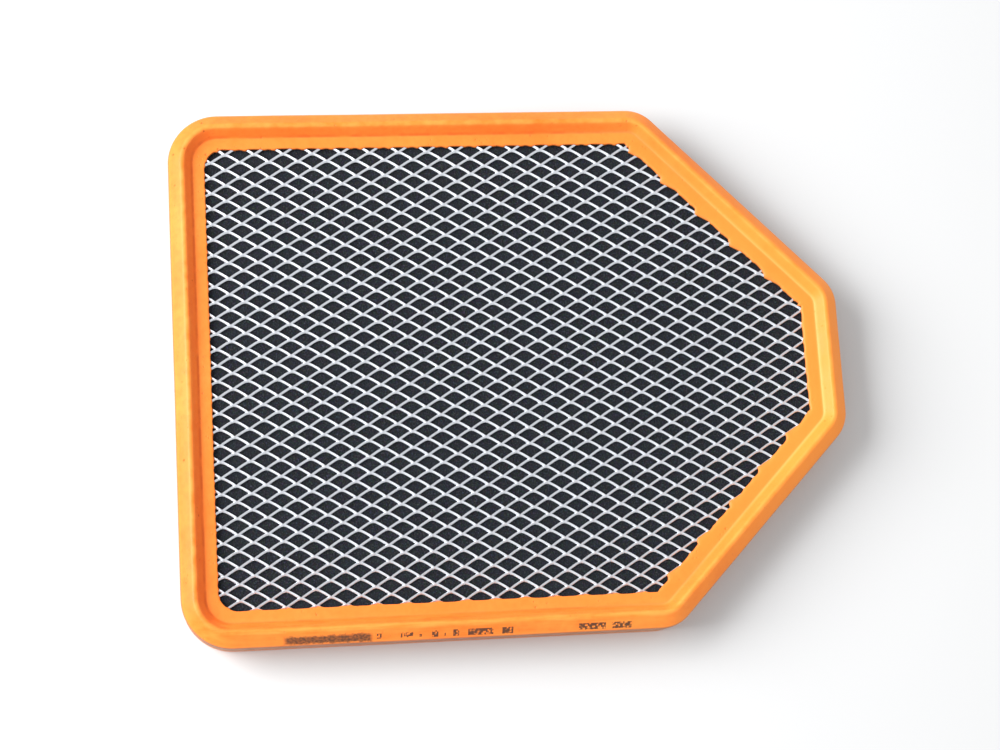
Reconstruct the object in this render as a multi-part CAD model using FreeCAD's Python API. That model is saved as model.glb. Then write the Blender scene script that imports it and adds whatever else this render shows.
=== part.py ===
"""Flat panel air filter with a cast polyurethane frame, for a motorcycle airbox.

The frame is a soft casting that holds everything else by its edges: a flame guard of
expanded aluminium on the upper side, a foam pad under it, and a pleated paper pack whose
folds are kept apart by threads of hot-melt glue above and below.

Frame of reference, in millimetres: the origin is the middle of the plan, on the flat
underside. +X runs along the length to the narrow nose, +Y across the width, +Z up.
"""
import FreeCAD, Part
import math
import os

Vector = FreeCAD.Vector

# --- plan of the panel -------------------------------------------------------------
PANEL_LENGTH = 232.0
PANEL_WIDTH = 184.0
NOSE_WIDTH = 49.0             # short straight edge at the +X end, between the two slanted edges
SLANT_LENGTH = 65.5           # how far back from the nose each slanted edge starts
HEEL_OPENING_RADIUS = 5.0     # corners of the opening at the -X end
NOSE_OPENING_RADIUS = 1.0     # corners of the opening at both ends of each slanted edge

# --- section of the cast frame -----------------------------------------------------
PANEL_HEIGHT = 20.0           # underside to the top of the sealing ridge
SHOULDER_HEIGHT = 16.5        # where the side wall turns into the ridge
FLANGE_HEIGHT = 16.7          # flat inside the ridge, just over the flame guard
RIDGE_WIDTH = 8.3             # side wall to the inner foot of the ridge
FLANGE_WIDTH = 3.9            # inner foot of the ridge to the opening
CREST_OFFSET = 4.3            # side wall to the start of the crest
CREST_WIDTH = 1.2
WALL_DRAFT = 0.4              # how far the side wall leans in at the underside
SHOULDER_RADIUS = 2.0
CREST_RADIUS = 0.8
FOOT_RADIUS = 0.8
BASE_RADIUS = 0.8
LIP_RADIUS = 0.2

# --- flame guard of expanded metal -------------------------------------------------
GUARD_THICKNESS = 1.2
GUARD_COVER = 0.3             # frame material over the guard's edge
GUARD_GRIP = 3.7              # how far the guard's edge is buried in the frame
DIAMOND_LENGTH = 10.0         # long way of one diamond, centre to centre, along X
DIAMOND_WIDTH = 5.5           # short way, along Y
STRAND_WIDTH = 0.9
DIAMOND_SHIFT_X = -1.3        # pattern's shift from the middle of the panel
DIAMOND_SHIFT_Y = 0.75

# --- foam pad and pleated pack -----------------------------------------------------
FOAM_THICKNESS = 4.0
MEDIA_GRIP = 4.5              # how far the edges of foam and paper are buried in the frame
PAPER_THICKNESS = 0.5
PLEAT_PITCH = 4.6
PACK_BASE = 2.0               # underside of the panel to the lower folds

# --- glue threads ------------------------------------------------------------------
THREAD_COUNT = 5              # on each side of the pack
THREAD_SPACING = 30.0
THREAD_WIDTH = 2.2
THREAD_DEPTH = 1.6            # how far a thread reaches in between the folds
THREAD_STAND = 0.4            # how far it stands over the folds

# --- sizes that follow -------------------------------------------------------------
RING_WIDTH = RIDGE_WIDTH + FLANGE_WIDTH
GUARD_INSET = RING_WIDTH - GUARD_GRIP
MEDIA_INSET = RING_WIDTH - MEDIA_GRIP
GUARD_TOP = FLANGE_HEIGHT - GUARD_COVER
GUARD_BASE = GUARD_TOP - GUARD_THICKNESS
FOAM_BASE = GUARD_BASE - FOAM_THICKNESS
PACK_TOP = FOAM_BASE - THREAD_STAND


def rounded_wire(corners, place):
    """Closed wire through corners (u, v, radius), each rounded by a tangent arc."""
    starts = []
    middles = []
    ends = []
    for index, (u, v, radius) in enumerate(corners):
        here = Vector(u, v, 0)
        before = Vector(corners[index - 1][0], corners[index - 1][1], 0)
        after = Vector(corners[(index + 1) % len(corners)][0], corners[(index + 1) % len(corners)][1], 0)
        back = (before - here).normalize()
        ahead = (after - here).normalize()
        half_angle = back.getAngle(ahead) / 2
        bisector = (back + ahead).normalize()
        reach = radius / math.tan(half_angle)
        starts.append(here + back * reach)
        ends.append(here + ahead * reach)
        middles.append(here + bisector * (radius / math.sin(half_angle) - radius))
    edges = []
    for index in range(len(corners)):
        start, middle, end = (place(p.x, p.y) for p in (starts[index], middles[index], ends[index]))
        edges.append(Part.Arc(start, middle, end).toShape())
        following = starts[(index + 1) % len(corners)]
        edges.append(Part.makeLine(end, place(following.x, following.y)))
    return Part.Wire(edges)


def plan_corners(inset):
    """Corners of the plan outline moved inwards by inset, anticlockwise from the -X, -Y corner."""
    half_length = PANEL_LENGTH / 2
    half_width = PANEL_WIDTH / 2
    half_nose = NOSE_WIDTH / 2
    heel_radius = HEEL_OPENING_RADIUS + RING_WIDTH - inset
    nose_radius = NOSE_OPENING_RADIUS + RING_WIDTH - inset
    slant_width = half_width - half_nose
    slant = math.hypot(SLANT_LENGTH, slant_width)
    # A parallel line inside each slanted edge meets the long sides and the nose at these shifts.
    side_shift = inset * (slant - SLANT_LENGTH) / slant_width
    nose_shift = inset * (slant - slant_width) / SLANT_LENGTH
    side_x = half_length - SLANT_LENGTH - side_shift
    nose_y = half_nose - nose_shift
    return [
        (inset - half_length, inset - half_width, heel_radius),
        (side_x, inset - half_width, nose_radius),
        (half_length - inset, -nose_y, nose_radius),
        (half_length - inset, nose_y, nose_radius),
        (side_x, half_width - inset, nose_radius),
        (inset - half_length, half_width - inset, heel_radius),
    ]


def plan_wire(inset, height):
    """Outline of the plan at a height, moved inwards by inset."""
    return rounded_wire(plan_corners(inset), lambda x, y: Vector(x, y, height))


def slab(inset, base, top):
    """Plate with the plan's outline moved inwards by inset."""
    return Part.Face(plan_wire(inset, base)).extrude(Vector(0, 0, top - base))


def ring():
    """The frame's section carried round the plan, before its inserts are taken out of it."""
    section = [
        (WALL_DRAFT, 0, BASE_RADIUS),
        (0, SHOULDER_HEIGHT, SHOULDER_RADIUS),
        (CREST_OFFSET, PANEL_HEIGHT, CREST_RADIUS),
        (CREST_OFFSET + CREST_WIDTH, PANEL_HEIGHT, CREST_RADIUS),
        (RIDGE_WIDTH, FLANGE_HEIGHT, FOOT_RADIUS),
        (RING_WIDTH, FLANGE_HEIGHT, LIP_RADIUS),
        (RING_WIDTH, 0, BASE_RADIUS),
    ]
    corners = plan_corners(0)
    start_x = corners[0][0]
    outline = plan_wire(0, 0)
    profile = rounded_wire(section, lambda inset, height: Vector(start_x + inset, 0, height))
    # The path starts half way along the heel, where the section is drawn.
    heel = outline.Edges[-1]
    first_half = Part.makeLine(Vector(start_x, 0, 0), heel.Vertexes[1].Point)
    second_half = Part.makeLine(heel.Vertexes[0].Point, Vector(start_x, 0, 0))
    path = Part.Wire([first_half] + outline.Edges[:-1] + [second_half])
    return path.makePipeShell([profile], True, False)


def opening_edge(row, side):
    """Half of every opening centred on one row line: its upper (+1) or lower (-1) two sides."""
    half_length = DIAMOND_LENGTH / 2
    half_width = DIAMOND_WIDTH / 2
    to_strand = half_length * half_width / math.hypot(half_length, half_width)
    share = 1 - STRAND_WIDTH / 2 / to_strand
    reach_x = half_length * share
    reach_y = half_width * share
    columns = math.ceil(PANEL_LENGTH / 2 / DIAMOND_LENGTH) + 1
    y = DIAMOND_SHIFT_Y + row * half_width
    points = []
    for column in range(-columns, columns + 1):
        x = DIAMOND_SHIFT_X + (column + (row % 2) / 2) * DIAMOND_LENGTH
        points += [Vector(x - reach_x, y, 0), Vector(x, y + side * reach_y, 0), Vector(x + reach_x, y, 0)]
    return points


def guard_mesh():
    """Expanded metal sheet cut to the plan: zigzag strands along X, joined at their bonds."""
    outline = slab(GUARD_INSET, GUARD_BASE, GUARD_TOP)
    rows = math.ceil(PANEL_WIDTH / DIAMOND_WIDTH) + 1
    strands = []
    for row in range(-rows, rows):
        points = opening_edge(row, 1) + opening_edge(row + 1, -1)[::-1]
        strand = Part.Face(Part.makePolygon(points + points[:1]))
        strand.translate(Vector(0, 0, GUARD_BASE))
        strands += strand.extrude(Vector(0, 0, GUARD_THICKNESS)).common(outline).Solids
    return strands[0].multiFuse(strands[1:])


def fold_lines():
    """Upper and lower edge of the pleated sheet's section, as points in the XZ plane."""
    rise = PACK_TOP - PACK_BASE - PAPER_THICKNESS
    slope = rise / (PLEAT_PITCH / 2)
    half_leg = PAPER_THICKNESS / 2 * math.hypot(1, slope)
    flat = (half_leg - PAPER_THICKNESS / 2) / slope
    high_notch = PACK_TOP - PAPER_THICKNESS / 2 - half_leg
    low_notch = PACK_BASE + PAPER_THICKNESS / 2 + half_leg
    pleats = math.ceil((PANEL_LENGTH / 2) / PLEAT_PITCH)
    upper = []
    lower = []
    for index in range(-pleats, pleats + 1):
        high_x = index * PLEAT_PITCH
        low_x = high_x + PLEAT_PITCH / 2
        upper += [Vector(high_x - flat, 0, PACK_TOP), Vector(high_x + flat, 0, PACK_TOP)]
        upper += [Vector(low_x, 0, low_notch)]
        lower += [Vector(high_x, 0, high_notch)]
        lower += [Vector(low_x - flat, 0, PACK_BASE), Vector(low_x + flat, 0, PACK_BASE)]
    return upper, lower


def across(points, y_from, y_to):
    """Closed section in the XZ plane drawn out along Y."""
    face = Part.Face(Part.makePolygon(points + points[:1]))
    face.translate(Vector(0, y_from, 0))
    return face.extrude(Vector(0, y_to - y_from, 0))


def pleat_pack():
    """Paper folded in a zigzag, folds along Y, trimmed to the plan."""
    upper, lower = fold_lines()
    sheet = across(upper + lower[::-1], -PANEL_WIDTH / 2, PANEL_WIDTH / 2)
    return sheet.common(slab(MEDIA_INSET, PACK_BASE, PACK_TOP))


def glue_thread(side, centre_y):
    """Hot-melt thread along X that fills the mouths of the folds on one side of the pack."""
    upper, lower = fold_lines()
    y_from = centre_y - THREAD_WIDTH / 2
    y_to = centre_y + THREAD_WIDTH / 2
    if side == "upper":
        outer = PACK_TOP + THREAD_STAND
        base, top = PACK_TOP - THREAD_DEPTH, outer
        edge = upper
    else:
        outer = PACK_BASE - THREAD_STAND
        base, top = outer, PACK_BASE + THREAD_DEPTH
        edge = lower
    outside = [Vector(edge[-1].x, 0, outer), Vector(edge[0].x, 0, outer)]
    return across(edge + outside, y_from, y_to).common(slab(MEDIA_INSET, base, top))


def glue_threads():
    """All threads by name, numbered from -Y to +Y on each side."""
    threads = {}
    for side in ("upper", "lower"):
        for index in range(THREAD_COUNT):
            centre_y = (index - (THREAD_COUNT - 1) / 2) * THREAD_SPACING
            threads[f"{side}_glue_thread_{index + 1}"] = glue_thread(side, centre_y)
    return threads


def build():
    """Every piece by its name. The frame is cast round the edges of all the others."""
    pieces = {
        "guard_mesh": guard_mesh(),
        "foam_pad": slab(MEDIA_INSET, FOAM_BASE, GUARD_BASE),
        "pleat_pack": pleat_pack(),
    }
    threads = glue_threads()
    pieces.update(threads)
    inserts = [slab(GUARD_INSET, GUARD_BASE, GUARD_TOP), pieces["foam_pad"], pieces["pleat_pack"]]
    pieces["frame"] = ring().cut(inserts + list(threads.values()))
    return pieces


os.makedirs("parts", exist_ok=True)
for name, shape in build().items():
    solids = shape.Solids
    if len(solids) != 1 or not solids[0].isValid():
        raise ValueError(f"{name}: {len(solids)} solids")
    solids[0].exportStep(f"parts/{name}.step")
    print(f"{name:22s} {solids[0].Volume / 1000:8.2f} cm3  {len(solids[0].Faces)} faces")
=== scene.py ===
"""Flat panel air filter: cast frame, expanded metal guard, foam pad, pleated paper and glue threads."""
import math

import bmesh
import bpy
from bpy.props import FloatProperty, FloatVectorProperty, PointerProperty
from mathutils import Matrix, Vector, noise


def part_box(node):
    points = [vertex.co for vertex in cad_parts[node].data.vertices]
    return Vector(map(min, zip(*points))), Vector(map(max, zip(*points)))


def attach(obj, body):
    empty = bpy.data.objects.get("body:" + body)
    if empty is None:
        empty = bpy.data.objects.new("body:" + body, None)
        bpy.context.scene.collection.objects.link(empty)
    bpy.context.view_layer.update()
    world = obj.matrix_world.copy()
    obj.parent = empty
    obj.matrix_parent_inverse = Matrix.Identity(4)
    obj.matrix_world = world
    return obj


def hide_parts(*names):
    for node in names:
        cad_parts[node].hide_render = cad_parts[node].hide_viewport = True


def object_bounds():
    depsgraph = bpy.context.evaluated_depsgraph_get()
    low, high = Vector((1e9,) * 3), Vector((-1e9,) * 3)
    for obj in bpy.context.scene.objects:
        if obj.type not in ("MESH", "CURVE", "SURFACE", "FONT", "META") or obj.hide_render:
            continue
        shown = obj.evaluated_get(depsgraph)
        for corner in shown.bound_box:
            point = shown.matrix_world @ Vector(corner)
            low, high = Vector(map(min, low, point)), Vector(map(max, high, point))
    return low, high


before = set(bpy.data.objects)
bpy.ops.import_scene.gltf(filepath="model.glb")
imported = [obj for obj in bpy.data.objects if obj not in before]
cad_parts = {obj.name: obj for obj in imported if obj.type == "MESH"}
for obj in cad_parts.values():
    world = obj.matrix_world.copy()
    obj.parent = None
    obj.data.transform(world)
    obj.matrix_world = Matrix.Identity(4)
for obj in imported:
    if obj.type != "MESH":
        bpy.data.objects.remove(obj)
CAD_BOX = [list(corner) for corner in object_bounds()]
PANEL_LOW, PANEL_HIGH = (Vector(corner) for corner in CAD_BOX)
GUARD_LOW, GUARD_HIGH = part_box("guard_mesh")
FOAM_LOW, FOAM_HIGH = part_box("foam_pad")
PACK_LOW, PACK_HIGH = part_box("pleat_pack")

bl_info = {
    "name": "Panel air filter",
    "version": (1, 0, 0),
    "blender": (4, 5, 0),
    "location": "3D View > Sidebar > Air Filter",
    "description": "Makes a cast-frame panel air filter piece by piece",
    "category": "Add Mesh",
}

MM = 0.001
UP = Vector((0, 0, 1))
ALONG = Vector((1, 0, 0))

# Distance between vertices on straight walls, round the panel's corners and round the section's corners
SIDE_STEP = 0.78 * MM
CORNER_STEP = 0.72 * MM
ROUND_STEP = 0.42 * MM
LEAST_CORNER_STEPS = 6
LEAST_ROUND_STEPS = 2
# Corners of inner lines get no sharper than this, however far inside the walls they lie
LEAST_HEEL_RADIUS = 7.2 * MM
LEAST_NOSE_RADIUS = 4.2 * MM
# A cut takes vertices this near its plane as lying on it
CUT_TOLERANCE = 0.0001 * MM


def length(name, description, default, low=0.0):
    """A size in metres."""
    return FloatProperty(name=name, description=description, default=default, min=low,
                         unit="LENGTH", precision=5)


def colour(name, description, default):
    """A surface colour."""
    return FloatVectorProperty(name=name, description=description, default=default, subtype="COLOR",
                               size=3, min=0, max=1)


# --- sizes and colours ------------------------------------------------------------------------------
class FilterPlan(bpy.types.PropertyGroup):
    """Plan of the panel, seen from above."""
    panel_length: length("Length", "Over the frame, heel to nose", PANEL_HIGH.x - PANEL_LOW.x)
    panel_width: length("Width", "Over the frame, across", PANEL_HIGH.y - PANEL_LOW.y)
    nose_width: length("Nose", "Short straight edge between the slanted edges", 49 * MM)
    slant_length: length("Slant", "How far back from the nose a slanted edge starts", 65.5 * MM)
    heel_radius: length("Heel corners", "Outer radius of the two square corners", 17.2 * MM)
    nose_radius: length("Nose corners", "Outer radius of the four blunt corners", 13.2 * MM)


class FilterCasting(bpy.types.PropertyGroup):
    """Section and colours of the cast frame."""
    ring_width: length("Ring", "Side wall to the opening", 12.2 * MM)
    ridge_width: length("Ridge", "Side wall to the inner foot of the ridge", 8.3 * MM)
    shoulder_height: length("Shoulder", "Where the side wall turns into the ridge", 16.5 * MM)
    flange_height: length("Flange", "Height of the flat inside the ridge", 16.7 * MM)
    crest_offset: length("Crest offset", "Side wall to the start of the crest", 4.3 * MM)
    crest_width: length("Crest", "Width of the crest", 1.2 * MM)
    parting_height: length("Parting line", "Where the two halves of the mould meet", 15.2 * MM)
    skin: colour("Skin", "Cast polyurethane where it is thick", (0.90, 0.185, 0.016))
    pale: colour("Pale skin", "Cast polyurethane where it is thin or rubbed", (0.97, 0.265, 0.036))
    ink: colour("Ink", "Faded ink on the side of the ridge", (0.035, 0.026, 0.02))


class FilterGuard(bpy.types.PropertyGroup):
    """Expanded metal of the flame guard."""
    diamond_length: length("Long way", "Bond to bond along the panel", 10 * MM)
    diamond_width: length("Short way", "Bond to bond across the panel", 5.5 * MM)
    bond_x: length("Bond X", "Where one bond lies, along the panel", 3.7 * MM, low=-1)
    bond_y: length("Bond Y", "Where one bond lies, across the panel", 0.75 * MM, low=-1)
    strand_width: length("Strand width", "Width of one strand before it is twisted", 0.90 * MM)
    strand_thickness: length("Sheet", "Thickness of the sheet", 0.4 * MM)
    grip: length("Grip", "How far the edge is buried in the frame", 3.7 * MM)
    metal: colour("Metal", "Bright aluminium", (0.80, 0.83, 0.89))


class FilterMedia(bpy.types.PropertyGroup):
    """Foam pad, pleated paper and glue threads."""
    foam: colour("Foam", "Open-cell foam", (0.0055, 0.0070, 0.0105))
    paper: colour("Paper", "Filter paper", (0.74, 0.62, 0.38))
    glue: colour("Glue", "Hot-melt glue", (0.83, 0.76, 0.55))
    pleat_pitch: length("Pleat pitch", "Fold to fold along the panel", 4.6 * MM)
    paper_thickness: length("Paper thickness", "Thickness of the paper", 0.5 * MM)


class FilterStage(bpy.types.PropertyGroup):
    """Camera, floor and light."""
    camera_place: FloatVectorProperty(name="Camera", description="Where the camera stands", unit="LENGTH",
                                      default=(-0.10984, -0.15214, 0.73119))
    camera_turn: FloatVectorProperty(name="Camera turn", description="How the camera is turned",
                                     subtype="EULER",
                                     default=tuple(math.radians(a) for a in (12.16, -7.597, -3.437)))
    lens: FloatProperty(name="Lens", description="Focal length in millimetres", default=77.44)
    floor: colour("Floor", "Colour of the floor", (0.665, 0.67, 0.675))
    key: FloatProperty(name="Key", description="Power of the soft lamp, in watts", default=29.5)
    sky: FloatProperty(name="Sky", description="Strength of the surrounding light", default=0.76)


# --- shader maths -----------------------------------------------------------------------------------
class Signal:
    """A socket of a shader tree, so that values can be combined as expressions."""

    def __init__(self, recipe, socket):
        self.recipe = recipe
        self.socket = socket

    def math(self, operation, *values):
        """A maths node on these values."""
        return self.recipe.node("ShaderNodeMath", {"operation": operation}, dict(enumerate(values)))

    def __add__(self, other):
        return self.math("ADD", self, other)

    __radd__ = __add__

    def __sub__(self, other):
        return self.math("SUBTRACT", self, other)

    def __rsub__(self, other):
        return self.math("SUBTRACT", other, self)

    def __mul__(self, other):
        return self.math("MULTIPLY", self, other)

    __rmul__ = __mul__

    def __truediv__(self, other):
        return self.math("DIVIDE", self, other)

    def __gt__(self, other):
        return self.math("GREATER_THAN", self, other)

    def __lt__(self, other):
        return self.math("LESS_THAN", self, other)

    def ramp(self, low, high):
        """0 below low and 1 above high, straight between them; low may be the larger."""
        sockets = {"Value": self, "From Min": low, "From Max": high}
        return self.recipe.node("ShaderNodeMapRange", {"clamp": True}, sockets)

    def floor(self):
        """Whole part."""
        return self.math("FLOOR", self)

    def larger(self, other):
        """The larger of two."""
        return self.math("MAXIMUM", self, other)


class Recipe:
    """A node material under construction."""

    def __init__(self, name):
        self.material = bpy.data.materials.new(name)
        self.material.use_nodes = True
        self.tree = self.material.node_tree
        self.tree.nodes.clear()
        self.place = self.node("ShaderNodeTexCoord", out="Object")

    def node(self, kind, settings=None, sockets=None, out=0):
        """Adds a node, sets it, then gives its sockets values or links; returns one of its outputs."""
        made = self.tree.nodes.new(kind)
        for name, value in (settings or {}).items():
            setattr(made, name, value)
        for name, value in (sockets or {}).items():
            if isinstance(value, Signal):
                self.tree.links.new(value.socket, made.inputs[name])
            else:
                made.inputs[name].default_value = value
        return Signal(self, made.outputs[out])

    def axis(self, name):
        """One coordinate of the point being shaded."""
        return self.node("ShaderNodeSeparateXYZ", sockets={0: self.place}, out=name)

    def stretched(self, scale):
        """The point being shaded, scaled along each axis."""
        return self.node("ShaderNodeMapping", sockets={"Vector": self.place, "Scale": scale})

    def noise(self, size, detail=3.0, rough=0.5, where=None):
        """Cloudy noise from 0 to 1 whose blotches are about size across."""
        sockets = {"Vector": where or self.place, "Scale": 1 / size, "Detail": detail, "Roughness": rough}
        return self.node("ShaderNodeTexNoise", sockets=sockets)

    def cells(self, size, out="Distance"):
        """Cells about size across: the distance to the middle of each, or its random colour."""
        return self.node("ShaderNodeTexVoronoi", sockets={"Vector": self.place, "Scale": 1 / size}, out=out)

    def mix(self, share, first, second, how="MIX"):
        """Colour mix; colours are given as three numbers or as a signal."""
        first, second = (c if isinstance(c, Signal) else (*c, 1) for c in (first, second))
        settings = {"data_type": "RGBA", "blend_type": how}
        return self.node("ShaderNodeMix", settings, {0: share, 6: first, 7: second}, out=2)

    def bump(self, height, distance, strength):
        """Bump of a height signal; distance is the height of a full step in metres."""
        sockets = {"Height": height, "Distance": distance, "Strength": strength}
        return self.node("ShaderNodeBump", sockets=sockets)

    def finish(self, **sockets):
        """Principled surface with these sockets, named with underscores."""
        named = {name.replace("_", " "): value for name, value in sockets.items()}
        surface = self.node("ShaderNodeBsdfPrincipled", sockets=named)
        end = self.tree.nodes.new("ShaderNodeOutputMaterial")
        self.tree.links.new(surface.socket, end.inputs["Surface"])
        return self.material


# --- plan of the panel ------------------------------------------------------------------------------
def corners(plan):
    """Sharp corners of the side walls, counterclockwise from the nose, each with its outer radius."""
    nose, side, tip = plan.panel_length / 2, plan.panel_width / 2, plan.nose_width / 2
    knee = nose - plan.slant_length
    return [(Vector((nose, tip, 0)), plan.nose_radius), (Vector((knee, side, 0)), plan.nose_radius),
            (Vector((-nose, side, 0)), plan.heel_radius), (Vector((-nose, -side, 0)), plan.heel_radius),
            (Vector((knee, -side, 0)), plan.nose_radius), (Vector((nose, -tip, 0)), plan.nose_radius)]


def sides(plan):
    """Start, direction and inward normal of each straight side wall."""
    points = [point for point, _ in corners(plan)]
    for start, end in zip(points, points[1:] + points[:1]):
        along = (end - start).normalized()
        yield start, along, UP.cross(along)


def trim(bm, plan, inset):
    """Cuts everything to the plan, at an inset from the side walls."""
    for start, _, inward in sides(plan):
        everything = bm.verts[:] + bm.edges[:] + bm.faces[:]
        bmesh.ops.bisect_plane(bm, geom=everything, dist=CUT_TOLERANCE, plane_co=start + inward * inset,
                               plane_no=-inward, clear_outer=True)


def outline(plan, inset):
    """Corner arcs of the line at an inset from the walls: centre, radius, start, end, turn and steps."""
    walls = list(sides(plan))
    arcs = []
    for number, (point, outer_radius) in enumerate(corners(plan)):
        before, after = walls[number - 1], walls[number]
        least = LEAST_HEEL_RADIUS if outer_radius == plan.heel_radius else LEAST_NOSE_RADIUS
        radius = max(outer_radius - inset, least)
        turn = before[1].angle(after[1])
        bisector = (before[2] + after[2]).normalized()
        centre = point + bisector * (inset + radius) / math.cos(turn / 2)
        steps = max(LEAST_CORNER_STEPS, round(turn * outer_radius / CORNER_STEP))
        arcs.append((centre, radius, centre - before[2] * radius, centre - after[2] * radius, turn, steps))
    return arcs


def side_wall_loop(bm, plan):
    """Closed loop along the side walls.

    Layers keep which wall or corner a vertex is on, how far along it is, and which way is inward there.
    """
    part, share = bm.verts.layers.int.new("part"), bm.verts.layers.float.new("share")
    inward = bm.verts.layers.float_vector.new("inward")
    walls, arcs = list(sides(plan)), outline(plan, 0)
    first = tip = bm.verts.new(arcs[-1][3])
    for number, (centre, _, start, _, turn, steps) in enumerate(arcs):
        old, run = tip, start - tip.co
        cuts = round(run.length / SIDE_STEP)
        tip = grow(bm, old, dvec=run / cuts, angle=0, steps=cuts)
        for vertex in wire(tip, old):
            vertex[part], vertex[share] = 2 * number, (vertex.co - old.co).length / run.length
            vertex[inward] = walls[number - 1][2]
        old = tip
        tip = grow(bm, old, cent=centre, angle=turn, steps=steps)
        for vertex in wire(tip, old):
            vertex[part], vertex[inward] = 2 * number + 1, (centre - vertex.co).normalized()
    bmesh.ops.weld_verts(bm, targetmap={tip: first})
    return bm.edges[:]


def set_loop(bm, verts, plan, inset, height):
    """Moves the vertices of a loop to an inset from the side walls and to a height."""
    layers = bm.verts.layers
    part, share, inward = layers.int["part"], layers.float["share"], layers.float_vector["inward"]
    arcs = outline(plan, inset)
    for vertex in verts:
        number, on_corner = divmod(vertex[part], 2)
        centre, radius, start = arcs[number][:3]
        if on_corner:
            place = centre - vertex[inward] * radius
        else:
            place = arcs[number - 1][3].lerp(start, vertex[share])
        vertex.co = place + UP * height


def grow(bm, tip, **motion):
    """Draws a wire from a vertex by a spin about an upright axis; returns its far end."""
    last = bmesh.ops.spin(bm, geom=[tip], axis=UP, **motion)["geom_last"]
    return of_kind(last, bmesh.types.BMVert)[0]


def wire(tip, start):
    """Vertices of a wire, back from its tip to where it started."""
    path = [tip]
    while path[-1] != start:
        neighbours = (edge.other_vert(path[-1]) for edge in path[-1].link_edges)
        path.append(next(vertex for vertex in neighbours if vertex not in path[-2:]))
    return path


def rounded(points):
    """Section through points of (inset, height, radius), with each corner rounded to its radius."""
    path = []
    for number, (inset, height, radius) in enumerate(points):
        here = Vector((inset, height))
        before = (Vector(points[number - 1][:2]) - here).normalized()
        after = (Vector(points[(number + 1) % len(points)][:2]) - here).normalized()
        if radius == 0:
            path.append(here)
            continue
        half = before.angle(after) / 2
        reach = radius / math.tan(half)
        centre = here + (before + after).normalized() * radius / math.sin(half)
        first, last = ((here + way * reach - centre).normalized() for way in (before, after))
        steps = max(LEAST_ROUND_STEPS, round(first.angle(last) * radius / ROUND_STEP))
        path += [centre + first.slerp(last, step / steps) * radius for step in range(steps + 1)]
    return path


def piece(name, bm, material, nodes, sharp=None):
    """Makes a finished piece that stands for CAD nodes and takes its finish from a material slot."""
    bmesh.ops.recalc_face_normals(bm, faces=bm.faces)
    mesh = bpy.data.meshes.new(name)
    bm.to_mesh(mesh)
    bm.free()
    mesh.polygons.foreach_set("use_smooth", [True] * len(mesh.polygons))
    if sharp:
        mesh.set_sharp_from_angle(angle=sharp)
    mesh.materials.append(material)
    made = bpy.data.objects.new(name, mesh)
    bpy.context.scene.collection.objects.link(made)
    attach(made, "root")
    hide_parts(*nodes)
    return made


def of_kind(geometry, kind):
    """The vertices, edges or faces in what an operator gives back."""
    return [item for item in geometry if isinstance(item, kind)]


def between(geometry, verts):
    """The edges whose two ends are both among some vertices."""
    ends = set(verts)
    return [edge for edge in of_kind(geometry, bmesh.types.BMEdge) if ends.issuperset(edge.verts)]


# --- cast frame -------------------------------------------------------------------------------------
def flash_reach(guard, place, inward):
    """How far the cast skin has crept over the guard at one place on the opening's edge.

    It creeps furthest on the slanted edges, less on the nose, and hardly at all elsewhere. Where the edge
    nearly reaches a strand it is held by that strand.
    """
    slant = min(1.0, max(0.0, (-inward.x * abs(inward.y) - 0.15) / 0.25))
    nose = min(1.0, max(0.0, (-inward.x - 0.8) / 0.15))
    drift = noise.noise(place / (7 * MM)) * 0.5 + noise.noise(place / (2.2 * MM)) * 0.35
    plain = (0.28 + 0.22 * drift) * MM
    crept = (1.05 + 0.7 * drift) * MM
    reach = plain + (crept - plain) * slant + (0.55 * MM + 0.3 * drift * MM) * nose
    grab = (0.45 + 0.95 * slant) * MM
    across_x = 1 / guard.diamond_length
    across_y = 1 / guard.diamond_width
    if slant:
        across_y = math.copysign(across_y, inward.x * inward.y)
    row = (place.x - guard.bond_x) * across_x + (place.y - guard.bond_y) * across_y
    rate = inward.x * across_x + inward.y * across_y
    ahead = (math.ceil(row) - row) / rate if rate > 0 else (math.floor(row) - row) / rate
    if 0.35 * reach < ahead < reach + grab:
        reach = ahead + 0.15 * MM
    return reach


def near_strand(guard, place):
    """Distance in plan from a place to the nearest strand's middle line."""
    along = (place.x - guard.bond_x) / guard.diamond_length
    across = (place.y - guard.bond_y) / guard.diamond_width
    per_metre = math.hypot(1 / guard.diamond_length, 1 / guard.diamond_width)
    return min(abs(row - round(row)) / per_metre for row in (along + across, along - across))


# Tones of the casting beside the ones that can be set
DEEP_CLOUD = (0.80, 0.135, 0.010)
SPECK = (0.52, 0.085, 0.008)
PIT = (0.30, 0.045, 0.006)
NOSE_HIGHLIGHT = (0.98, 0.315, 0.042)
SHADED_SLOPE = (0.78, 0.115, 0.006)
GROOVE_SHADE = (0.50, 0.055, 0.004)
GROOVE_HIGHLIGHT = (1.0, 0.43, 0.11)
STREAK = (0.98, 0.33, 0.055)
CREST_HIGHLIGHT = (1.0, 0.36, 0.075)
WALL_DUST_AND_SHADE = (0.20, 0.13, 0.095)
SHOULDER_SHADE = (0.12, 0.075, 0.055)


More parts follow.
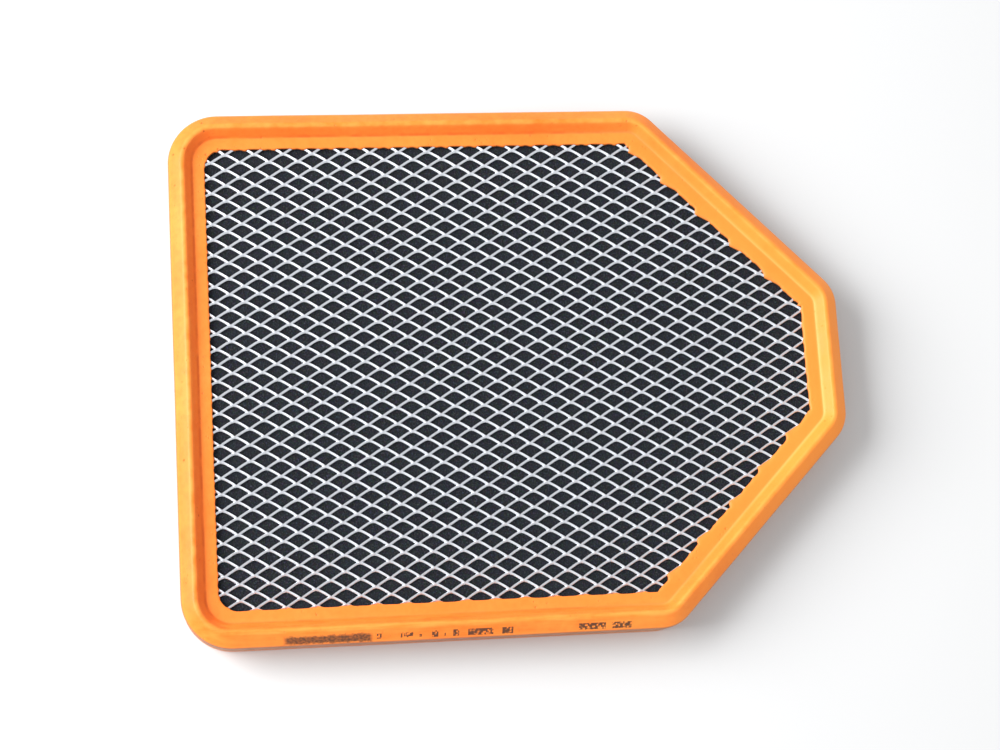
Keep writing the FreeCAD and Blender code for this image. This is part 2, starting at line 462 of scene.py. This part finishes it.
def casting_material(look):
    """Cast polyurethane: mottled satin orange skin, pinholes, faded ink, painted highlights and shade."""
    recipe = Recipe("cast_polyurethane")
    broad = recipe.noise(38 * MM, 2)
    mottle = recipe.noise(5 * MM, 4)
    grain = recipe.noise(0.8 * MM, 3)
    specks = recipe.noise(1.6 * MM, 2)
    pinhole = recipe.cells(4.5 * MM).ramp(0.10, 0.055) * recipe.noise(17 * MM).ramp(0.45, 0.55)
    pock = recipe.cells(1.7 * MM).ramp(0.20, 0.08) * recipe.noise(7 * MM).ramp(0.52, 0.6)
    tone = recipe.mix(broad.ramp(0.35, 0.65) * 0.5 + mottle.ramp(0.3, 0.7) * 0.45, look.skin, look.pale)
    tone = recipe.mix(recipe.noise(2.1 * MM, 3).ramp(0.42, 0.68) * 0.28, tone, DEEP_CLOUD)
    tone = recipe.mix(specks.ramp(0.70, 0.78) * 0.22, tone, SPECK)
    tone = recipe.mix(pinhole * 0.55 + pock * 0.25, tone, PIT)

    # Painted highlight: the nose half is painted paler and yellower. The flange is painted paler too.
    height = recipe.axis("Z")
    nose_highlight = recipe.axis("X").ramp(10 * MM, 100 * MM) * (0.7 + 0.3 * broad.ramp(0.4, 0.6))
    tone = recipe.mix(nose_highlight * 0.8, tone, NOSE_HIGHLIGHT)
    flange = height.ramp(17.2 * MM, 16.9 * MM) * height.ramp(16.0 * MM, 16.4 * MM)
    tone = recipe.mix(flange * 0.30, tone, look.pale)

    # Across the ridge, in millimetres from the side wall: inner slope, groove at its foot and crest
    # highlight.
    across = recipe.node("ShaderNodeAttribute", {"attribute_name": "across"}, out="Fac")
    start, crest, foot = (size / MM for size in (look.crest_offset, look.crest_width, look.ridge_width))
    end = start + crest
    upper = height > 12 * MM
    slope = upper * across.ramp(end, end + 0.9) * across.ramp(foot + 0.35, foot - 0.1)
    groove = upper * across.ramp(foot - 0.9, foot - 0.25) * across.ramp(foot + 0.45, foot - 0.05)
    on_top = height > PANEL_HIGH.z - 2.5 * MM
    crest_highlight = across.ramp(start - 0.7, start) * across.ramp(end + 0.5, end) * on_top
    near = recipe.axis("Y").ramp(-80 * MM, -86 * MM)
    streaks = recipe.noise(1.6 * MM, 3, 0.6, recipe.stretched((0.10, 1, 1))).ramp(0.36, 0.66)
    shade = groove * mottle.ramp(0.3, 0.6) * (0.5 - 0.5 * nose_highlight) * (1 - 0.8 * near)
    highlight_pattern = mottle.ramp(0.35, 0.62) * (1 - near) + streaks * near
    # Painted shade on the inner slope and in the groove at its foot, weaker on the nose half.
    tone = recipe.mix(slope * (0.42 - 0.36 * nose_highlight), tone, SHADED_SLOPE)
    tone = recipe.mix(shade, tone, GROOVE_SHADE)
    tone = recipe.mix(near * streaks * 0.35, tone, STREAK)
    # Painted highlight in the groove on the nose half.
    tone = recipe.mix(groove * nose_highlight * 0.6, tone, GROOVE_HIGHLIGHT)
    # Painted highlight on the crest, mottled, and streaky on the near side.
    tone = recipe.mix(crest_highlight * highlight_pattern * 0.40, tone, CREST_HIGHLIGHT)

    # Dust and painted shade darken the side wall; painted shade darkens the parting line and the shoulder
    # above.
    dust_and_shade = height.ramp(15.5 * MM, 15.0 * MM) * height.ramp(0, 5 * MM)
    tone = recipe.mix(dust_and_shade * (0.56 + 0.3 * mottle), tone, WALL_DUST_AND_SHADE)
    shoulder_shade = height.ramp(14.7 * MM, 15.1 * MM) * height.ramp(16.7 * MM, 15.4 * MM)
    tone = recipe.mix(shoulder_shade * (0.60 + 0.4 * mottle), tone, SHOULDER_SHADE)
    ink = ink_marks(recipe)
    tone = recipe.mix(ink * 0.90, tone, look.ink)
    rough = 0.40 + mottle.ramp(0.3, 0.7) * 0.14 + ink * 0.15 + pinhole * 0.2
    body = mottle * 0.55 + recipe.noise(1.9 * MM, 3) * 0.3 + grain * 0.16 - pinhole * 0.8 - pock * 0.5
    normal = recipe.bump(body, 0.26 * MM, 0.7)
    return recipe.finish(Base_Color=tone, Roughness=rough, Normal=normal, Specular_IOR_Level=0.28)


INK_DOT = 0.50 * MM
INK_GLYPH = 2.1 * MM
INK_LEAST_HEIGHT = 16.2 * MM
# Groups of ticks on the near side in millimetres: left, right, share of dots left out, low and high across
INK_GROUPS = (
    (-52, -37, 0.45, -90.8, -89.3), (-34.5, -29, 0.18, -91.1, -89.1), (-26.5, -24.5, 0.2, -91.1, -89.1),
    (-21.5, -13, 0.18, -91.1, -89.1), (-10, -5, 0.12, -91.1, -89.1), (16, 34, 0.22, -91.1, -89.1))


def ink_marks(recipe):
    """Faded dot-matrix ticks, not letters, and one smear on the outer slope of the near side."""
    x, y = recipe.axis("X"), recipe.axis("Y")
    column, line = (value / INK_DOT for value in (x, y))
    cell = recipe.node("ShaderNodeCombineXYZ", sockets={0: column.floor(), 1: line.floor()})
    chance = recipe.node("ShaderNodeTexWhiteNoise", {"noise_dimensions": "2D"}, {"Vector": cell})
    tick = (x / INK_GLYPH).floor()
    glyph = recipe.node("ShaderNodeTexWhiteNoise", {"noise_dimensions": "1D"}, {"W": tick})
    dots = None
    for left, right, gap, low, high in INK_GROUPS:
        inside = (x > left * MM) * (x < right * MM) * (y > low * MM) * (y < high * MM)
        group = inside * (chance > gap)
        dots = group if dots is None else dots + group
    worn = recipe.noise(1.1 * MM, 3).ramp(0.26, 0.48) * recipe.noise(9 * MM).ramp(0.15, 0.4)
    ticks = dots * (glyph > 0.12) * worn
    ragged = y + (recipe.noise(1.3 * MM, 3) - 0.5) * (1.6 * MM)
    smear = x.ramp(-83 * MM, -81.5 * MM) * x.ramp(-53 * MM, -54.5 * MM)
    smear = smear * ragged.ramp(-91.6 * MM, -91.1 * MM) * ragged.ramp(-88.7 * MM, -89.5 * MM)
    smear = smear * (0.72 + 0.28 * recipe.noise(0.8 * MM, 3).ramp(0.35, 0.6))
    return ticks.larger(smear) * (recipe.axis("Z") > INK_LEAST_HEIGHT)


SEAT_CHAMFER = 0.35 * MM
# The ridge wanders inwards and sinks by up to this
RIDGE_WANDER = 0.16 * MM
RIDGE_SINK = 0.10 * MM
# The creep at a place is the mean over neighbours this far apart
CREEP_SPREAD = 0.5 * MM


class FILTER_OT_cast_frame(bpy.types.Operator):
    """Make the cast polyurethane frame with the skin that crept over the guard"""
    bl_idname = "filter.cast_frame"
    bl_label = "Cast Frame"

    def execute(self, context):
        scene = context.scene
        plan, cast, guard = scene.filter_plan, scene.filter_casting, scene.filter_guard
        ring, crest, top = cast.ring_width, cast.crest_offset, PANEL_HIGH.z
        # Corners of the section, from the seat out and up over the ridge: inset, height and radius
        section = [
            (ring - 0.1 * MM, 0, 0), (ring - 0.6 * MM, 0, 0), (ring / 2, 0, 0),
            (0.45 * MM, 0, 0.8 * MM), (0.36 * MM, cast.parting_height * 0.5, 0),
            (0.28 * MM, cast.parting_height - 0.25 * MM, 0), (0.02 * MM, cast.parting_height, 0),
            (0, cast.parting_height + 0.15 * MM, 0), (0.25 * MM, cast.shoulder_height + 0.1 * MM, 1.6 * MM),
            (crest, top, 1.6 * MM), (crest + cast.crest_width, top, 0.9 * MM),
            (cast.ridge_width - 0.15 * MM, cast.flange_height - 0.06 * MM, 0.75 * MM),
            (cast.ridge_width + 1.3 * MM, cast.flange_height, 0), (ring - 1.4 * MM, cast.flange_height, 0),
            (ring - 0.7 * MM, cast.flange_height, 0)]
        # The lip over the guard: how much of the creep a line takes, and its height
        lip = [(0.0, cast.flange_height), (0.35, cast.flange_height - 0.03 * MM),
               (0.7, cast.flange_height - 0.16 * MM), (0.92, cast.flange_height - 0.42 * MM),
               (1.0, cast.flange_height - 0.8 * MM), (0.96, GUARD_LOW.z + 0.12 * MM)]
        # Every line of the section: inset, height and how much of the creep it takes
        rows = [(point.x, point.y, 0.0) for point in rounded(section)]
        rows += [(ring - 0.15 * MM, height, share) for share, height in lip]
        rows += [(ring, height, 0.0) for height in
                 (GUARD_LOW.z - 0.1 * MM, FOAM_LOW.z, PACK_LOW.z, SEAT_CHAMFER)]
        bm = bmesh.new()
        for name in ("flash", "across"):
            bm.verts.layers.float.new(name)
        edges = first_edges = side_wall_loop(bm, plan)
        verts = bm.verts[:]
        inward = bm.verts.layers.float_vector["inward"]
        flash, across = bm.verts.layers.float["flash"], bm.verts.layers.float["across"]
        for number, (inset, height, share) in enumerate(rows):
            if number:
                grown = bmesh.ops.extrude_edge_only(bm, edges=edges)["geom"]
                verts = of_kind(grown, bmesh.types.BMVert)
                edges = between(grown, verts)
            set_loop(bm, verts, plan, inset, height)
            for vertex in verts:
                vertex[flash], vertex[across] = share, inset / MM + share
        bmesh.ops.bridge_loops(bm, edges=first_edges + edges)
        for vertex in bm.verts:
            place, way, share = vertex.co.copy(), vertex[inward], vertex[flash]
            wander = 0.5 + 0.5 * noise.noise(place / (31 * MM)) + 0.12 * noise.noise(place / (6 * MM))
            vertex.co += way * RIDGE_WANDER * max(0.0, wander)
            if place.z > cast.shoulder_height:
                vertex.co.z -= RIDGE_SINK * max(0.0, wander)
            if share:
                edge = place.copy()
                edge.z = 0
                step = UP.cross(way) * CREEP_SPREAD
                reach = sum(flash_reach(guard, edge + step * turn, way) for turn in (-1, 0, 1)) / 3
                front = edge + way * reach
                reach += 0.32 * MM * math.exp(-(near_strand(guard, front) / (0.5 * MM)) ** 2)
                vertex.co += way * reach * share
                vertex.co.z += 0.12 * MM * noise.noise(place / (2.5 * MM)) * share
        piece("cast_frame", bm, casting_material(cast), ["frame"])
        return {"FINISHED"}


# --- expanded metal guard ---------------------------------------------------------------------------
STRAND_STATIONS = 10
STRAND_SIDES = 6
# Straightness of a strand's middle: 0 gives a corner there, larger values an arch
ARCH_SOFTNESS = 0.27
STRAND_LIFT = 0.20 * MM
STRAND_TWIST = 25
BOND_TWIST = 19
# A strand is wider at a bond by this share, and its round section a little thicker than the sheet
BOND_WIDENING = 0.28
SECTION_FULLNESS = 1.15
SHARP_CUT = math.radians(42)
DULL_METAL = (0.66, 0.69, 0.74)
METAL_DIRT = (0.42, 0.41, 0.40)


def strand_path(guard, share):
    """Place and twist of a strand at a share of one diamond's length, from lower bond to lower bond."""
    x = guard.diamond_length * share
    away = abs(share - 0.5) * 2
    soft = ARCH_SOFTNESS
    arch = math.sqrt(away * away + soft * soft) - soft
    arch /= math.sqrt(1 + soft * soft) - soft
    y = guard.diamond_width / 2 * (1 - arch)
    lift = (0.5 - (1 - away)) * STRAND_LIFT
    bond = max((1 - away) ** 6, away ** 6)
    twist = math.radians(STRAND_TWIST + BOND_TWIST * bond)
    return Vector((x, y, lift)), twist


def strand_pose(guard, station):
    """Matrix that brings a flat unit circle to a strand's section at a station."""
    share = station / STRAND_STATIONS
    place, twist = strand_path(guard, share)
    after, _ = strand_path(guard, min(1.0, share + 0.02))
    before, _ = strand_path(guard, max(0.0, share - 0.02))
    tangent = (after - before).normalized() if 0 < station < STRAND_STATIONS else ALONG
    side = UP.cross(tangent).normalized()
    broad = side * math.cos(twist) + UP * math.sin(twist)
    flat = tangent.cross(broad)
    bond = abs(abs(share - 0.5) * 4 - 1) ** 3
    width = guard.strand_width * (1 + BOND_WIDENING * bond)
    thickness = guard.strand_thickness * SECTION_FULLNESS
    turned = Matrix((broad * width, flat * thickness, tangent * MM)).transposed()
    return Matrix.Translation(place) @ turned.to_4x4()


def guard_material(look):
    """Bright aluminium sheet: cut edges, fine scratches and dull spots."""
    recipe = Recipe("expanded_aluminium")
    scratches = recipe.noise(1.0 * MM, 4, 0.6, recipe.stretched((0.25, 2.2, 2.2)))
    dull = recipe.noise(14 * MM, 3)
    dirt = recipe.noise(2.6 * MM, 3)
    tone = recipe.mix(dull.ramp(0.35, 0.7) * 0.22, look.metal, DULL_METAL)
    tone = recipe.mix(dirt.ramp(0.62, 0.72) * 0.30, tone, METAL_DIRT)
    rough = 0.30 + scratches.ramp(0.3, 0.7) * 0.18 + dirt.ramp(0.6, 0.7) * 0.15
    normal = recipe.bump(scratches, 0.035 * MM, 0.7)
    return recipe.finish(Base_Color=tone, Roughness=rough, Metallic=0.88, Normal=normal)


class FILTER_OT_guard(bpy.types.Operator):
    """Make the expanded metal guard, strand by strand"""
    bl_idname = "filter.guard"
    bl_label = "Expanded Metal Guard"

    def execute(self, context):
        plan, guard = context.scene.filter_plan, context.scene.filter_guard
        pitch, rise = guard.diamond_length, guard.diamond_width
        bm = bmesh.new()
        ring = bmesh.ops.create_circle(bm, segments=STRAND_SIDES, radius=0.5)["verts"]
        edges = list({edge for vertex in ring for edge in vertex.link_edges})
        pose = Matrix.Identity(4)
        for station in range(STRAND_STATIONS + 1):
            if station:
                grown = bmesh.ops.extrude_edge_only(bm, edges=edges)["geom"]
                ring = of_kind(grown, bmesh.types.BMVert)
                edges = between(grown, ring)
            target = strand_pose(guard, station)
            bmesh.ops.transform(bm, matrix=target @ pose.inverted(), verts=ring)
            pose = target
        repeat(bm, Vector((pitch, 0, 0)), math.ceil(plan.panel_length / pitch) + 1)
        repeat(bm, Vector((-pitch / 2, rise / 2, 0)), 1)
        repeat(bm, Vector((0, rise, 0)), math.ceil(plan.panel_width / rise) + 1)
        columns, rows = (math.ceil(size / step / 2) + 1 for size, step in
                         ((plan.panel_length, pitch), (plan.panel_width, rise)))
        middle = (GUARD_LOW.z + GUARD_HIGH.z) / 2
        corner = Vector((guard.bond_x - columns * pitch, guard.bond_y - rows * rise, middle))
        bmesh.ops.translate(bm, verts=bm.verts, vec=corner)
        bmesh.ops.remove_doubles(bm, verts=bm.verts, dist=0.01 * MM)
        trim(bm, plan, context.scene.filter_casting.ring_width - guard.grip)
        bmesh.ops.holes_fill(bm, edges=[edge for edge in bm.edges if edge.is_boundary], sides=0)
        for vertex in bm.verts:
            bend = noise.noise_vector(vertex.co / (9 * MM)) * 0.07 * MM
            shift = bend + noise.noise_vector(vertex.co / MM) * 0.025 * MM
            vertex.co += Vector((shift.x, shift.y, shift.z * 0.4))
            vertex.co.z = min(GUARD_HIGH.z, max(GUARD_LOW.z, vertex.co.z))
        piece("expanded_guard", bm, guard_material(guard), ["guard_mesh"], sharp=SHARP_CUT)
        return {"FINISHED"}


def repeat(bm, step, times):
    """Copies everything in a row."""
    everything = bm.verts[:] + bm.edges[:] + bm.faces[:]
    bmesh.ops.spin(bm, geom=everything, cent=(0, 0, 0), axis=UP, dvec=step, angle=0, steps=times,
                   use_duplicate=True)


# --- foam, paper and glue ---------------------------------------------------------------------------
FOAM_STEP = 1.25 * MM
PAPER_BEND = 0.55 * MM
FLANK_STEPS = 3
BEND_STEPS = 4
FOLD_LENGTH_STEPS = 26
PAPER_CLEARANCE = 0.3 * MM
THREAD_SIDES = 12
THREAD_STEP = 1.15 * MM
FOAM_STRAND = (0.046, 0.053, 0.070)
FOAM_BLOOM = (0.016, 0.020, 0.027)
PAPER_BLOTCH = (0.66, 0.52, 0.29)
PAPER_FIBRE = (0.86, 0.77, 0.55)
PAPER_PORE = (0.45, 0.34, 0.18)
GLUE_CLOUD = (0.70, 0.58, 0.34)
GLUE_BUBBLE = (0.92, 0.88, 0.75)


def foam_material(look):
    """Open-cell foam: near-black cells with faint glints of random hue."""
    recipe = Recipe("open_cell_foam")
    coarse = recipe.cells(1.5 * MM)
    fine = recipe.cells(0.62 * MM)
    hue = recipe.cells(0.55 * MM, out="Color")
    cloud = recipe.noise(22 * MM, 3)
    strands = recipe.noise(0.5 * MM, 3, 0.7).ramp(0.47, 0.62)
    base = recipe.mix(strands * 0.8, look.foam, FOAM_STRAND)
    tinted = recipe.mix(0.35, base, hue, "SOFT_LIGHT")
    tinted = recipe.mix(cloud.ramp(0.4, 0.7) * 0.35, tinted, FOAM_BLOOM)
    height = strands * 0.5 + fine * 0.5 + coarse * 0.35
    return recipe.finish(Base_Color=tinted, Roughness=0.75 + cloud * 0.2, Specular_IOR_Level=0.28,
                         Normal=recipe.bump(height, 0.5 * MM, 0.9))


def paper_material(look):
    """Cream filter paper with fibres, blotches and pores."""
    recipe = Recipe("filter_paper")
    fibres = recipe.noise(0.9 * MM, 5, 0.65, recipe.stretched((1, 0.22, 1)))
    blotch = recipe.noise(12 * MM, 3)
    pores = recipe.cells(0.7 * MM)
    tone = recipe.mix(blotch.ramp(0.3, 0.7) * 0.45, look.paper, PAPER_BLOTCH)
    tone = recipe.mix(fibres.ramp(0.35, 0.68) * 0.35, tone, PAPER_FIBRE)
    tone = recipe.mix(pores.ramp(0.25, 0.1) * 0.2, tone, PAPER_PORE)
    normal = recipe.bump(fibres * 0.7 + pores * 0.3, 0.12 * MM, 0.8)
    return recipe.finish(Base_Color=tone, Roughness=0.80 + fibres * 0.15, Normal=normal,
                         Specular_IOR_Level=0.25)


def glue_material(look):
    """Hot-melt glue: waxy cream with bubbles."""
    recipe = Recipe("hot_melt_glue")
    cloud = recipe.noise(3 * MM, 3)
    bubbles = recipe.cells(0.9 * MM).ramp(0.22, 0.12)
    tone = recipe.mix(cloud.ramp(0.35, 0.65) * 0.5, look.glue, GLUE_CLOUD)
    tone = recipe.mix(bubbles * 0.3, tone, GLUE_BUBBLE)
    normal = recipe.bump(cloud * 0.6 + bubbles * 0.3, 0.14 * MM, 0.6)
    return recipe.finish(Base_Color=tone, Roughness=0.34 + cloud * 0.2, Normal=normal, Coat_Weight=0.2,
                         Subsurface_Weight=0.15, Subsurface_Scale=1.5 * MM)


class FILTER_OT_foam_pad(bpy.types.Operator):
    """Make the foam pad under the guard"""
    bl_idname = "filter.foam_pad"
    bl_label = "Foam Pad"

    def execute(self, context):
        plan, media = context.scene.filter_plan, context.scene.filter_media
        size = Vector(((FOAM_HIGH.x - FOAM_LOW.x) / 2, (FOAM_HIGH.y - FOAM_LOW.y) / 2))
        columns, rows = (round(2 * half / FOAM_STEP) for half in size)
        bm = bmesh.new()
        grid = bmesh.ops.create_grid(bm, x_segments=columns, y_segments=rows, size=1)
        bmesh.ops.scale(bm, vec=(size.x, size.y, 1), verts=grid["verts"])
        bmesh.ops.translate(bm, vec=(0, 0, FOAM_HIGH.z), verts=grid["verts"])
        trim(bm, plan, PANEL_HIGH.x - FOAM_HIGH.x)
        for vertex in bm.verts:
            place = vertex.co / MM
            dip = 0.22 + 0.14 * noise.noise(place / 14) + 0.16 * noise.noise(place / 2.4)
            vertex.co.z -= max(0.0, dip) * MM
        grown = bmesh.ops.extrude_face_region(bm, geom=bm.faces[:])["geom"]
        for vertex in of_kind(grown, bmesh.types.BMVert):
            vertex.co.z = FOAM_LOW.z
        pad = piece("foam_pad_body", bm, foam_material(media), ["foam_pad"], sharp=math.radians(60))
        return {"FINISHED"}


class FILTER_OT_pleated_paper(bpy.types.Operator):
    """Make the pleated paper pack"""
    bl_idname = "filter.pleated_paper"
    bl_label = "Pleated Paper"

    def execute(self, context):
        plan, media = context.scene.filter_plan, context.scene.filter_media
        low, high = PACK_LOW.z + media.paper_thickness / 2, PACK_HIGH.z - media.paper_thickness / 2
        pitch, bend = media.pleat_pitch, PAPER_BEND
        lean = math.atan2(pitch / 2 - 2 * bend, high - low - 2 * bend)
        flank = Vector((math.sin(lean), 0, math.cos(lean)))
        turn = math.pi - 2 * lean
        bm = bmesh.new()
        tip = [bm.verts.new((bend - bend * math.cos(lean), 0, bend + bend * math.sin(lean)))]
        run = (high - low - 2 * bend - 2 * bend * math.sin(lean)) / math.cos(lean)
        for direction in (1, -1):
            way = Vector((flank.x, 0, direction * flank.z)) * run / FLANK_STEPS
            grown = bmesh.ops.spin(bm, geom=tip, axis=(0, 1, 0), dvec=way, angle=0, steps=FLANK_STEPS)
            tip = of_kind(grown["geom_last"], bmesh.types.BMVert)
            centre = tip[0].co + Vector((math.cos(lean), 0, -direction * math.sin(lean))) * bend
            grown = bmesh.ops.spin(bm, geom=tip, cent=centre, axis=(0, direction, 0), angle=turn,
                                   steps=BEND_STEPS)
            tip = of_kind(grown["geom_last"], bmesh.types.BMVert)
        width = tip[0].co.x - min(vertex.co.x for vertex in bm.verts)
        count = math.ceil((PACK_HIGH.x - PACK_LOW.x) / pitch) + 1
        bmesh.ops.scale(bm, vec=(pitch / width, 1, 1), verts=bm.verts)
        repeat(bm, Vector((pitch, 0, 0)), count)
        bmesh.ops.remove_doubles(bm, verts=bm.verts, dist=0.02 * MM)
        depth = PACK_HIGH.y - PACK_LOW.y
        start = Vector((-count * pitch / 2, PACK_LOW.y, low))
        bmesh.ops.translate(bm, verts=bm.verts, vec=start)
        zigzag = bm.verts[:] + bm.edges[:]
        bmesh.ops.spin(bm, geom=zigzag, axis=UP, dvec=(0, depth / FOLD_LENGTH_STEPS, 0), angle=0,
                       steps=FOLD_LENGTH_STEPS)
        trim(bm, plan, PANEL_HIGH.x - PACK_HIGH.x + PAPER_CLEARANCE)
        for vertex in bm.verts:
            place = vertex.co / MM
            sway = noise.noise(Vector((place.x / 9, place.y / 22, 0))) * 0.42 + noise.noise(place / 5) * 0.10
            vertex.co.x += sway * MM
        bmesh.ops.recalc_face_normals(bm, faces=bm.faces)
        bmesh.ops.solidify(bm, geom=bm.faces[:], thickness=media.paper_thickness)
        piece("pleated_paper", bm, paper_material(media), ["pleat_pack"], sharp=math.radians(70))
        return {"FINISHED"}


class FILTER_OT_glue_threads(bpy.types.Operator):
    """Make the glue threads across the pleats, above and below"""
    bl_idname = "filter.glue_threads"
    bl_label = "Glue Threads"

    def execute(self, context):
        media = context.scene.filter_media
        material = glue_material(media)
        for name in sorted(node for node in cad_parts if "glue_thread" in node):
            low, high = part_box(name)
            middle, half = (low + high) / 2, (high - low) / 2
            bm = bmesh.new()
            ring = bmesh.ops.create_circle(bm, segments=THREAD_SIDES, radius=1, cap_ends=True)["verts"]
            upright = Matrix.Rotation(math.pi / 2, 3, "Y")
            bmesh.ops.rotate(bm, cent=(0, 0, 0), matrix=upright, verts=ring)
            bmesh.ops.scale(bm, vec=(1, half.y, half.z), verts=ring)
            bmesh.ops.translate(bm, vec=(low.x, middle.y, middle.z), verts=ring)
            steps = round(2 * half.x / THREAD_STEP)
            bmesh.ops.spin(bm, geom=bm.faces[:] + bm.edges[:] + bm.verts[:], axis=UP,
                           dvec=(2 * half.x / steps, 0, 0), angle=0, steps=steps)
            upper = name.startswith("upper")
            for vertex in bm.verts:
                place = vertex.co / MM
                beat = 0.5 - 0.5 * math.cos(2 * math.pi * vertex.co.x / media.pleat_pitch)
                swell = 0.80 + 0.14 * noise.noise(Vector((place.x / 3, place.y, 0))) - 0.16 * beat
                vertex.co.y = middle.y + (vertex.co.y - middle.y) * swell + 0.12 * MM * noise.noise(
                    Vector((place.x / 17, middle.y / MM, 4)))
                face = high.z if upper else low.z
                vertex.co.z = face + (vertex.co.z - face) * (1 - 0.18 * beat)
            piece(name + "_bead", bm, material, [name])
        return {"FINISHED"}


# --- stage ------------------------------------------------------------------------------------------
KEY_PLACE = (-1.03, 0.20, 0.77)
KEY_SIZE = 0.9
FLOOR_REACH = 3.0
FLOOR_DROP = 0.2 * MM
FLOOR_CLOUD = (0.64, 0.645, 0.65)


class FILTER_OT_stage(bpy.types.Operator):
    """Lay the floor, hang the lamp and stand the camera"""
    bl_idname = "filter.stage"
    bl_label = "Stage"

    def execute(self, context):
        scene, stage = context.scene, context.scene.filter_stage
        recipe = Recipe("pale_floor")
        tone = recipe.mix(recipe.noise(0.4, 2) * 0.15, stage.floor, FLOOR_CLOUD)
        bm = bmesh.new()
        bmesh.ops.create_grid(bm, x_segments=2, y_segments=2, size=FLOOR_REACH)
        mesh = bpy.data.meshes.new("floor")
        bm.to_mesh(mesh)
        bm.free()
        mesh.materials.append(recipe.finish(Base_Color=tone, Roughness=0.9, Specular_IOR_Level=0.1))
        floor = bpy.data.objects.new("floor", mesh)
        floor.location.z = PANEL_LOW.z - FLOOR_DROP
        scene.collection.objects.link(floor)

        lamp(scene, "key", KEY_PLACE, KEY_SIZE, stage.key)
        world = bpy.data.worlds.new("studio")
        world.use_nodes = True
        surroundings = world.node_tree.nodes["Background"].inputs
        surroundings["Color"].default_value = (1, 1, 1, 1)
        surroundings["Strength"].default_value = stage.sky
        scene.world = world
        scene.view_settings.view_transform = "Standard"

        data = bpy.data.cameras.new("camera")
        data.lens = stage.lens
        data.clip_start = 0.01
        camera = bpy.data.objects.new("camera", data)
        camera.location = stage.camera_place
        camera.rotation_euler = stage.camera_turn
        scene.collection.objects.link(camera)
        scene.camera = camera
        return {"FINISHED"}


def lamp(scene, name, place, size, power):
    """Square soft lamp that faces the middle of the panel."""
    data = bpy.data.lights.new(name, "AREA")
    data.energy = power
    data.size = size
    made = bpy.data.objects.new(name, data)
    made.location = place
    made.rotation_euler = (-Vector(place)).to_track_quat("-Z", "Y").to_euler()
    scene.collection.objects.link(made)


# --- panel and registration -------------------------------------------------------------------------
MAKERS = (FILTER_OT_cast_frame, FILTER_OT_guard, FILTER_OT_foam_pad, FILTER_OT_pleated_paper,
          FILTER_OT_glue_threads, FILTER_OT_stage)
GROUPS = {"filter_plan": FilterPlan, "filter_casting": FilterCasting, "filter_guard": FilterGuard,
          "filter_media": FilterMedia, "filter_stage": FilterStage}


class FILTER_PT_panel(bpy.types.Panel):
    """Sizes, colours and makers of the panel air filter"""
    bl_idname = "FILTER_PT_panel"
    bl_label = "Air Filter"
    bl_space_type = "VIEW_3D"
    bl_region_type = "UI"
    bl_category = "Air Filter"

    def draw(self, context):
        for name, group in GROUPS.items():
            box = self.layout.box()
            box.label(text=group.__doc__.rstrip("."))
            for setting in group.__annotations__:
                box.prop(getattr(context.scene, name), setting)
        for maker in MAKERS:
            self.layout.operator(maker.bl_idname)


def register():
    """Adds the settings, the makers and the panel to Blender."""
    for group in GROUPS.values():
        bpy.utils.register_class(group)
    for name, group in GROUPS.items():
        setattr(bpy.types.Scene, name, PointerProperty(type=group))
    for maker in MAKERS:
        bpy.utils.register_class(maker)
    bpy.utils.register_class(FILTER_PT_panel)


def unregister():
    """Takes them out again."""
    bpy.utils.unregister_class(FILTER_PT_panel)
    for maker in reversed(MAKERS):
        bpy.utils.unregister_class(maker)
    for name in reversed(GROUPS):
        delattr(bpy.types.Scene, name)
        bpy.utils.unregister_class(GROUPS[name])


def main():
    register()
    bpy.ops.filter.cast_frame()
    bpy.ops.filter.guard()
    bpy.ops.filter.foam_pad()
    bpy.ops.filter.pleated_paper()
    bpy.ops.filter.glue_threads()
    bpy.ops.filter.stage()


if __name__ == "__main__":
    main()
